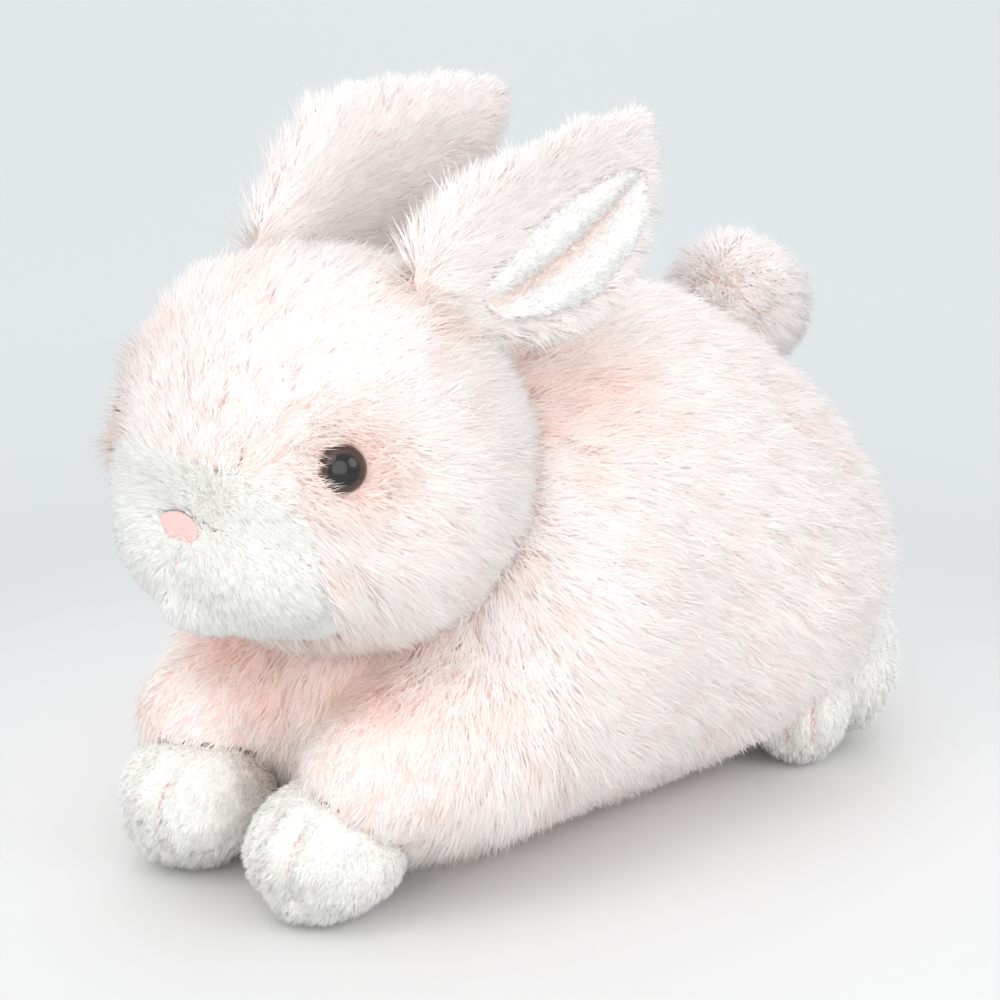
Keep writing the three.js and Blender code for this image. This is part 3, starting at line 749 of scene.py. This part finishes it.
def sewn_ground(name, covers, voxel, rounding, closing, neighbours, reach, shape):
    """The covers of one part joined over their seams and gaps, so that the pile runs on from one to the next."""
    copies = []
    for cover in covers:
        copy = bpy.data.objects.new(name, nodes[cover].data.copy())
        bpy.context.scene.collection.objects.link(copy)
        copies.append(copy)
    deselect_all()
    for copy in copies:
        copy.select_set(True)
    bpy.context.view_layer.objects.active = copies[0]
    bpy.ops.object.join()
    ground = bpy.context.object
    ground.name = name
    apply_modifier(ground, "REMESH", mode="VOXEL", voxel_size=voxel * MM)
    if closing:
        swell(ground, steady(closing))
        apply_modifier(ground, "REMESH", mode="VOXEL", voxel_size=voxel * MM)
        swell(ground, steady(-closing))
    apply_modifier(ground, "SMOOTH", factor=0.5, iterations=rounding)
    clear[name] = open_air(ground, reach, neighbours)
    swell(ground, shape)
    return ground


body_ground = sewn_ground(
    "body_ground", ["torso_cover_left", "torso_cover_right", "foreleg_sleeve_left", "foreleg_sleeve_right"],
    2.4, 14, 4.0, WHOLE_TOY, 3.5, torso_shape)
hug_the_feet(body_ground)
head_ground = sewn_ground(
    "head_ground", ["head_cover_left", "head_cover_right", "head_crown_gusset", "muzzle_cover", "chin_patch"],
    1.6, 16, 2.0, WITHOUT_EARS, 4, face_shape)


# ---------------------------------------------------------------- combing

def eye_distance(spots):
    return np.linalg.norm(folded(spots) - EYE_CENTRE, axis=1)


def head_comb(spots):
    away = unit(spots - NOSE_TIP)
    low = smooth_step(118, 92, spots[:, 2])
    lay = away + np.array([0, 0.15, 0]) + low[:, None] * np.array([0, 0.1, -0.6])
    far = eye_distance(spots)
    off = folded(spots) - EYE_CENTRE
    off[:, 0] *= np.sign(spots[:, 0])
    lay += unit(off) * (0.5 * np.exp(-(((far - 4) / 4) ** 2)))[:, None]
    return lay * (1 - 0.55 * np.exp(-(((far - 11) / 5) ** 2)))[:, None]


def head_length(spots):
    near_nose = np.linalg.norm(spots - NOSE_TIP, axis=1)
    tall = 7.5 + 4.0 * smooth_step(30, 62, near_nose)
    both = folded(spots)
    tall += 5.0 * bump_at(both, EAR_ROOT, np.array([15, 16, 12]))
    tall += 4.0 * bump_at(both, np.array([10, -48, 148]), np.array([16, 14, 10]))
    tall += 2.5 * bump_at(both, np.array([40, -85, 85]), np.array([14, 16, 18]))
    before_eye = np.exp(-(((eye_distance(spots) - 11) / 4) ** 2)) * (both[:, 0] < EYE_CENTRE[0])
    tall += 2.5 * before_eye
    return tall * (0.45 + 0.55 * smooth_step(6, 9.5, eye_distance(spots)))


def body_comb(spots):
    """Back and sides lie rearwards and down, chest and sleeves lie down and forwards."""
    back = smooth_step(-58, -22, spots[:, 1])[:, None]
    rump = smooth_step(85, 108, spots[:, 1])[:, None]
    cuff = smooth_step(-60, -74, spots[:, 1])[:, None]
    outwards = np.clip(spots[:, :1] / 30, -1, 1) * np.array([0.2, 0, 0])
    lay = back * np.array([0, 0.9, -0.35]) + (1 - back) * np.array([0, -0.35, -1.0])
    low = smooth_step(45, 15, spots[:, 2])[:, None]
    return lay + outwards * (1 - low) + low * np.array([0, 0, -0.7]) + rump * np.array([0, 0, -1.0]) \
        + cuff * np.array([0, -0.5, 0.4])


def by_the_feet(spots):
    return smooth_step(16, 4, foot_distance(spots)) * smooth_step(58, 42, spots[:, 2])


def body_length(spots):
    rump = smooth_step(60, 105, spots[:, 1])
    hem = smooth_step(34, 10, spots[:, 2]) * smooth_step(-55, -30, spots[:, 1])
    cuff = smooth_step(-60, -78, spots[:, 1])
    return (13.5 - 3.0 * rump - 6.5 * hem - 7.0 * cuff) * (1 - 0.4 * by_the_feet(spots))


def body_stand(spots):
    """How steeply the pile stands: flatter under the belly's edge, at the cuffs and round the feet."""
    hem = smooth_step(40, 14, spots[:, 2]) * smooth_step(-55, -30, spots[:, 1])
    cuff = smooth_step(-60, -76, spots[:, 1])
    return 1 - 0.6 * np.maximum(np.maximum(hem, by_the_feet(spots)), cuff * 0.7)


def tail_comb(spots):
    return unit(spots - TAIL_CENTRE) * 0.2 + np.array([0, 0.35, 0.1])


def ear_comb(side_name):
    _, along, _, across = ear_frame(side_name)

    def comb(spots):
        _, off = on_ear(side_name, spots)
        return along + across * (np.clip(off / 22, -1, 1) * 0.9)[:, None]
    return comb


def ear_length(side_name):
    def length(spots):
        far, off = on_ear(side_name, spots)
        heel = smooth_step(40, 5, far) * smooth_step(-4, 8, off)
        tip = smooth_step(55, 82, far)
        margin = smooth_step(8, 18, off) * smooth_step(28, 45, far)
        return 8.5 + 5.0 * heel - (3.0 if side_name == "right" else 1.5) * tip - 2.0 * margin
    return length


def paw_comb(centre, forward):
    def comb(spots):
        return np.array(forward) + unit(spots - centre) * 0.2 + np.array([0, 0, -0.25])
    return comb


def muzzle_comb(spots):
    return unit(spots - NOSE_TIP) + np.array([0, 0, -0.25])


def painted_lining_crease_shade(side_name):
    """Painted shade in the fold down the middle of an ear's lining: the lining's pile turns deeper pink along the
    crease, where shade falls.
    """
    def painted_shade_and_tone(spots):
        far, off = on_ear(side_name, spots)
        return 1.2 * np.exp(-(((off + EAR_LOW) / 2.0) ** 2)) * smooth_step(70, 50, far)
    return painted_shade_and_tone


# Painted shade: the white pile turns deeper pink close to the sewn toe lines, where shade falls in the grooves.
def painted_toe_groove_shade(lines):
    pull = groove_shape(lines, 1.0, 2.0, 0.0, 1)
    return lambda spots: -0.6 * pull(spots)


def painted_shade_and_patchy_pink(spots):
    """Painted shade: deeper pink where shade falls behind the ears, on the chest under the chin, round the eyes in
    their sockets and at the ears' heels, plus a little patchy pink that varies at random.
    """
    both = folded(spots)
    behind_ears = 1.3 * bump_at(both, np.array([38, -14, 119]), np.array([20, 17, 13]))
    chest = 0.6 * bump_at(both, np.array([14, -68, 54]), np.array([26, 16, 18]))
    patchy = 0.22 * smooth_step(0.2, 1.2, ripple(spots, 14, 21))
    eyes = 0.95 * np.exp(-((eye_distance(spots) / 9.5) ** 2))
    ear_heels = 0.5 * bump_at(both, EAR_ROOT + np.array([4, -6, -4]), np.array([9, 9, 9]))
    return behind_ears + chest + eyes + ear_heels + patchy


def of_the_sleeves(spots):
    """1 where the body's ground lies over a foreleg's sleeve."""
    start, end = np.array([34, -47.6, 38]), WRIST
    both = folded(spots)
    t = np.clip((both - start) @ (end - start) / ((end - start) @ (end - start)), 0, 1)
    near = np.linalg.norm(both - start - t[:, None] * (end - start), axis=1)
    return (near < 22 - 4.5 * t + 1.5).astype(float)


def white_length(spots):
    near = np.linalg.norm((spots - NOSE_TIP - np.array([0, 3, 1])) * np.array([0.75, 1, 1.1]), axis=1)
    high = smooth_step(92, 104, spots[:, 2])
    return (1.6 + 1.8 * smooth_step(3.5, 9, near)) * (1 + 0.9 * high)


def into_the_foot(middle, tip):
    return (foot_distance(middle) < -FOOT_PRESS) | (foot_distance(tip) < -FOOT_PRESS)


for k, (side_name, side) in enumerate(SIDES.items()):
    seed = 100 + 20 * k
    ear, foreleg, hind_foot = "ear_" + side_name, "foreleg_" + side_name, "hind_foot_" + side_name
    spots = points_of(body_ground)
    own_side = (spots[:, 0] * side >= 0) * (spots[:, 2] > 3)
    sleeve = of_the_sleeves(spots)
    for part, body, share in (("torso_pile_front", "torso", (1 - sleeve) * (spots[:, 1] < 20)),
                              ("torso_pile_rear", "torso", spots[:, 1] >= 20),
                              ("sleeve_pile", foreleg, sleeve)):
        seed += 1
        grow_pile(f"{part}_{side_name}", body_ground, share * own_side, 3.2, body_length, body_comb,
                  PINK_PILE, body, seed, painted_shade_and_tone=painted_shade_and_patchy_pink, clump=7, lifts=(0.8, 0.35), gather=0.35,
                  stand=body_stand, keep_off=into_the_foot)
    spots = points_of(head_ground)
    pink = (spots[:, 0] * side >= 0) * (1 - white_face(spots))
    grow_pile("head_pile_" + side_name, head_ground, pink, 4.3, head_length, head_comb,
              PINK_PILE, "head", seed + 1, painted_shade_and_tone=painted_shade_and_patchy_pink, clump=5.5)
    grow_pile("ear_pile_" + side_name, skins[ear], 1, 5.5, ear_length(side_name), ear_comb(side_name),
              PINK_PILE, ear, seed + 2, clump=4.5)
    grow_pile("ear_lining_pile_" + side_name, skins["lining_" + side_name], 1, 8.0, steady(LINING_LENGTH),
              ear_comb(side_name), LINING_PILE, ear, seed + 3, width=0.27, lifts=(0.7, 0.3), clump=3,
              painted_shade_and_tone=painted_lining_crease_shade(side_name))
    grow_pile("forepaw_pile_" + side_name, skins["paw_" + side_name], 1, 6.0, steady(PAW_PILE),
              paw_comb(mirrored(FOREPAW_CENTRE, side), (0, -0.8, -0.2)), WHITE_PILE, foreleg, seed + 4,
              lifts=(1.1, 0.6), clump=2.6, wander=0.3, painted_shade_and_tone=painted_toe_groove_shade(PAW_LINES[side_name].values()))
    grow_pile("hind_foot_pile_" + side_name, skins["foot_" + side_name], 1, 5.0, steady(PAW_PILE),
              paw_comb(mirrored(TOE_CENTRE, side), (0.4 * side, -0.5, -0.4)), WHITE_PILE, hind_foot, seed + 5,
              lifts=(1.1, 0.6), clump=2.6, wander=0.3, painted_shade_and_tone=painted_toe_groove_shade(HIND_LINES[side_name].values()))
grow_pile("muzzle_pile", head_ground, white_face(points_of(head_ground)), 8.0, white_length, muzzle_comb,
          WHITE_PILE, "head", 302, lifts=(1.1, 0.7), clump=2.4, wander=0.3, sink=0.0)
grow_pile("tail_pile", skins["tail"], 1, 5.5, steady(TAIL_PILE), tail_comb, PINK_PILE,
          "tail", 304, lifts=(1.0, 0.55), clump=6, fall=0.2)
for ground in (body_ground, head_ground):
    bpy.data.objects.remove(ground)


# ---------------------------------------------------------------- eyes, nose and stitches

def glass_eye(side_name):
    side = SIDES[side_name]
    deselect_all()
    bpy.ops.mesh.primitive_uv_sphere_add(segments=48, ring_count=32, radius=1)
    eye = bpy.context.object
    eye.name = "glass_eye_" + side_name
    spots = points_of(eye) * MM
    rim = np.hypot(spots[:, 0], spots[:, 1])
    high = np.where(spots[:, 2] > 0, EYE_DOME, 1.0)
    spots = spots * np.stack([np.full(len(spots), EYE_RADIUS), np.full(len(spots), EYE_RADIUS), high], 1)
    out = Vector(mirrored(EYE_OUT, side))
    turn = np.array(out.to_track_quat("Z", "Y").to_matrix())
    set_points(eye, spots @ turn.T + mirrored(EYE_CENTRE - EYE_OUT * EYE_SINK, side))
    made = eye.data.attributes.new("rim", "FLOAT", "POINT")
    made.data.foreach_set("value", rim.astype(np.float32))
    bpy.ops.object.shade_smooth()
    eye.data.materials.append(EYE_PLASTIC)
    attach(eye, "head")
    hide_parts("eye_" + side_name)
    return eye


for side_name in SIDES:
    glass_eye(side_name)
    nodes["eye_washer_" + side_name].data.materials.clear()
    nodes["eye_washer_" + side_name].data.materials.append(WASHER)

nose = finished_skin("nose", "nose_pad", "head", 0.45, 6, NOSE_FLOCK)
nose_spots = points_of(nose)
proud = np.minimum(nose_spots[:, 1] - NOSE_FRONT, 0)
nose_spots[:, 1] -= proud * 0.5
nose_middle = nose_spots[:, 2].mean()
nose_spots[:, 2] = nose_middle - 0.6 + (nose_spots[:, 2] - nose_middle) * 1.2
set_points(nose, nose_spots)


def laid_on(tree, spot, from_point, stand):
    """The place where a line from a point in front, through the spot, first meets the skin, lifted by stand."""
    way = unit(spot - from_point)
    hit, normal, _, _ = tree.ray_cast(Vector(from_point * MM), Vector(way))
    if hit is None:
        return spot
    return np.array(hit) / MM + np.array(normal) * stand


def tree_of(piece):
    mesh = piece.data
    return BVHTree.FromPolygons([v.co.copy() for v in mesh.vertices], [list(f.vertices) for f in mesh.polygons])


def twisted_thread(name, line, body, node, plies=2, ply_radius=0.3, twist=0.28, turns_per_mm=0.5):
    """Sewing thread along a line: two plies wound round each other."""
    line = np.array(line)
    gaps = np.linalg.norm(np.diff(line, axis=0), axis=1)
    far = np.concatenate([[0], np.cumsum(gaps)])
    steps = max(int(far[-1] / 0.35), 6)
    at = np.linspace(0, far[-1], steps)
    path = np.stack([np.interp(at, far, line[:, k]) for k in range(3)], 1)
    way = unit(np.gradient(path, axis=0))
    side = unit(np.cross(way, np.array([0.3, 0.2, 1.0])))
    up = np.cross(side, way)
    spots, faces = [], []
    around = 8
    for ply in range(plies):
        wind = at * turns_per_mm * 2 * math.pi + ply * 2 * math.pi / plies
        middle = path + (side * np.cos(wind)[:, None] + up * np.sin(wind)[:, None]) * twist
        start = len(spots)
        for i in range(steps):
            for k in range(around):
                a = 2 * math.pi * k / around
                spots.append(middle[i] + (side[i] * math.cos(a) + up[i] * math.sin(a)) * ply_radius)
        for i in range(steps - 1):
            for k in range(around):
                a, b = start + i * around + k, start + i * around + (k + 1) % around
                faces.append((a, b, b + around, a + around))
        faces.append(tuple(start + k for k in reversed(range(around))))
        faces.append(tuple(start + (steps - 1) * around + k for k in range(around)))
    piece = mesh_piece(name, np.array(spots), faces)
    take_up(piece)
    bpy.ops.object.mode_set(mode="EDIT")
    bpy.ops.mesh.select_all(action="SELECT")
    bpy.ops.mesh.normals_make_consistent(inside=False)
    bpy.ops.object.mode_set(mode="OBJECT")
    piece.data.materials.append(THREAD)
    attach(piece, body)
    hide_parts(node)
    return piece


muzzle_tree = tree_of(skins["muzzle"])
mouth = []
for z in np.linspace(93, 83, 14):
    stand = 0.1 + 2.3 * math.exp(-((z - 86) / 1.6) ** 2)
    mouth.append(laid_on(muzzle_tree, np.array([0, -111, z]), np.array([0, -140, z]), stand))
twisted_thread("mouth_thread", mouth, "head", "mouth_stitch")
for side_name, side in SIDES.items():
    for part, lines, body in (("forepaw", PAW_LINES, "foreleg_"), ("hind", HIND_LINES, "hind_foot_")):
        skin_tree = tree_of(skins[("paw_" if part == "forepaw" else "foot_") + side_name])
        centre = mirrored(FOREPAW_CENTRE if part == "forepaw" else TOE_CENTRE, side)
        for place, line in lines[side_name].items():
            laid = [laid_on(skin_tree, spot, centre + (spot - centre) * 2, 0.2) for spot in line]
            twisted_thread(f"{part}_toe_thread_{place}_{side_name}", laid, body + side_name,
                           f"{part}_toe_stitch_{place}_{side_name}")


def closing_seam():
    low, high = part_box("closing_seam")
    count = 9
    torso_tree = tree_of(skins["torso_left"])
    spots = []
    for t in np.linspace(0, 1, count):
        z = (low.z + (high.z - low.z) * t) / MM
        spots.append(laid_on(torso_tree, np.array([0.6, 100, z]), np.array([0.6, 150, z]), 0.5))
    twisted_thread("closing_thread", spots, "torso", "closing_seam")


closing_seam()


# ---------------------------------------------------------------- floor, light and camera

def floor_finish():
    """A pale matt sheet, near white in front of the toy and a cool light grey beside and behind it, with painted light:
    a lighter pool round the toy that fills in its shadow on the floor.
    """
    material = bpy.data.materials.new("studio_floor")
    material.use_nodes = True
    tree = material.node_tree
    shader = tree.nodes["Principled BSDF"]
    place = tree.nodes.new("ShaderNodeTexCoord").outputs["Object"]
    towards = tree.nodes.new("ShaderNodeVectorMath")
    towards.operation = "DOT_PRODUCT"
    towards.inputs[1].default_value = (0.685, -0.729, 0)
    tree.links.new(place, towards.inputs[0])
    ramp = tree.nodes.new("ShaderNodeValToRGB")
    stops = ramp.color_ramp
    stops.interpolation = "EASE"
    stops.elements[0].position = 0.0
    stops.elements[0].color = rgb(0.6, 0.625, 0.64)
    stops.elements[1].position = 1.0
    stops.elements[1].color = rgb(0.69, 0.695, 0.69)
    middle = stops.elements.new(0.62)
    middle.color = rgb(0.57, 0.59, 0.6)
    reach = sums(tree, "ADD", sums(tree, "DIVIDE", towards.outputs["Value"], 0.75), 0.7, clamp=True)
    tree.links.new(reach, ramp.inputs[0])
    # Painted light: the floor turns lighter within about 0.26 m of the toy, a painted pool of light over its shadow.
    span = tree.nodes.new("ShaderNodeVectorMath")
    span.operation = "LENGTH"
    tree.links.new(place, span.inputs[0])
    painted_light_pool = tree.nodes.new("ShaderNodeMapRange")
    painted_light_pool.interpolation_type = "SMOOTHSTEP"
    painted_light_pool.inputs["From Min"].default_value = 0.26
    painted_light_pool.inputs["From Max"].default_value = 0.08
    tree.links.new(span.outputs["Value"], painted_light_pool.inputs["Value"])
    floor_with_painted_light = colour_mix(tree, painted_light_pool.outputs["Result"], ramp.outputs[0], rgb(0.74, 0.738, 0.735))
    tree.links.new(floor_with_painted_light, shader.inputs["Base Color"])
    shader.inputs["Roughness"].default_value = 0.8
    shader.inputs["Specular IOR Level"].default_value = 0.1
    return material


deselect_all()
bpy.ops.mesh.primitive_plane_add(size=12, location=(0, 0, -0.0002))
floor = bpy.context.object
floor.name = "studio_floor"
floor.data.materials.append(floor_finish())


def soft_lamp(name, place, size, power, colour, aim=(0, 0, 0.08)):
    data = bpy.data.lights.new(name, "AREA")
    data.shape = "DISK"
    data.size = size
    data.energy = power
    data.color = colour
    lamp = bpy.data.objects.new(name, data)
    bpy.context.scene.collection.objects.link(lamp)
    lamp.location = place
    lamp.rotation_euler = (Vector(aim) - Vector(place)).to_track_quat("-Z", "Y").to_euler()
    return lamp


soft_lamp("key_lamp", (-0.1, -1.4, 1.4), 1.4, 7, (1, 0.99, 0.98))
soft_lamp("fill_lamp", (1.0, -1.1, 0.5), 1.5, 7.5, (1, 0.995, 0.99))
soft_lamp("top_lamp", (-0.3, 0.1, 2.0), 1.8, 6, (1, 1, 1))
soft_lamp("back_lamp", (-1.1, 1.2, 1.0), 1.4, 4, (1, 0.99, 0.98))
soft_lamp("side_lamp", (1.5, 0.2, 0.9), 1.0, 4.5, (0.98, 0.99, 1))

world = bpy.data.worlds.new("studio_air")
bpy.context.scene.world = world
world.use_nodes = True
world.node_tree.nodes["Background"].inputs["Color"].default_value = rgb(0.97, 0.985, 1.0)
world.node_tree.nodes["Background"].inputs["Strength"].default_value = 0.92
bpy.context.scene.view_settings.view_transform = "Standard"

camera_data = bpy.data.cameras.new("camera")
camera_data.lens = 122.7
camera_data.sensor_width = 36
camera = bpy.data.objects.new("camera", camera_data)
bpy.context.scene.collection.objects.link(camera)
aim = Vector((0.0081, -0.0106, 0.0824))
azimuth, elevation, distance = math.radians(43.2), math.radians(17.8), 0.85
back = Vector((math.sin(azimuth) * math.cos(elevation), -math.cos(azimuth) * math.cos(elevation),
               math.sin(elevation)))
camera.location = aim + back * distance
camera.rotation_euler = (-back).to_track_quat("-Z", "Y").to_euler()
bpy.context.scene.camera = camera
